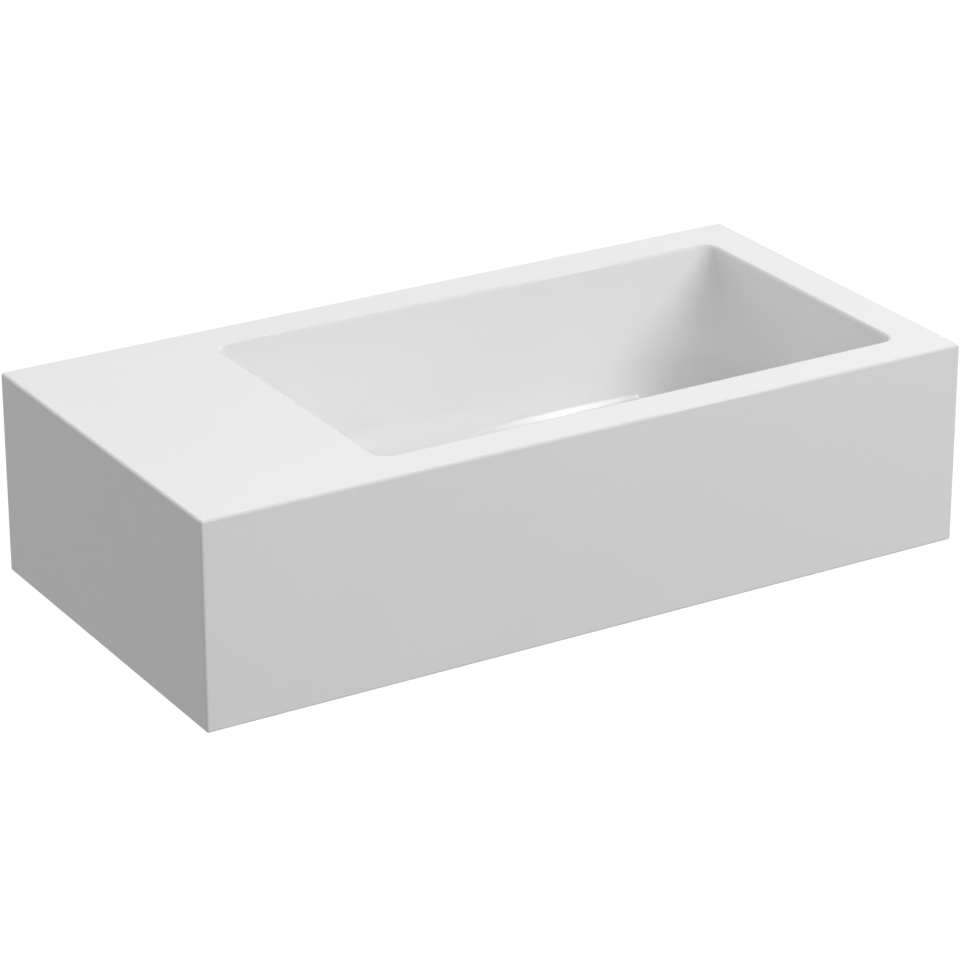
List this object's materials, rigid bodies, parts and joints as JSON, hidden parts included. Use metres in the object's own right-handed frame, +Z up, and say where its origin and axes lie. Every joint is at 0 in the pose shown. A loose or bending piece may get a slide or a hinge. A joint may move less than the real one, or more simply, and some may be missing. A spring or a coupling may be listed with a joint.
{
  "type": "hand basin",
  "caption": "Small wall-hung rectangular hand basin with an offset bowl, a bare deck to its left, a free-running waste with a lift-out cover and keyhole hangers.",
  "frame": {"origin": "on the flat back that meets the wall, midway along the basin, level with the upper ends of the two keyhole slots", "axes": "+X to the right as seen from the front, +Y into the wall, +Z up"},
  "size_m": [0.36, 0.18, 0.127],
  "materials": {
    "basin_white": "smooth white gloss over a cast body",
    "waste_chrome": "polished chrome over brass",
    "nut_brass": "bare turned brass",
    "plate_steel": "plain stainless steel",
    "gasket_rubber": "matt black rubber",
    "slip_ring_plastic": "smooth natural nylon"
  },
  "bodies": {
    "basin": {"basin_body": "basin_white", "waste_top_gasket": "gasket_rubber", "waste_body": "waste_chrome", "waste_bottom_gasket": "gasket_rubber", "waste_slip_ring": "slip_ring_plastic", "waste_back_nut": "nut_brass", "hanger_plate_left": "plate_steel", "hanger_plate_right": "plate_steel", "hanger_screws": "plate_steel"},
    "waste_cover": {"waste_stem": "nut_brass", "waste_stem_ring": "gasket_rubber", "waste_cap": "waste_chrome"}
  },
  "joints": [
    {"name": "cover_lift", "type": "slide", "parent": "basin", "child": "waste_cover", "axis": [0, 0, 1], "range_m": [0, 0.095]}
  ]
}
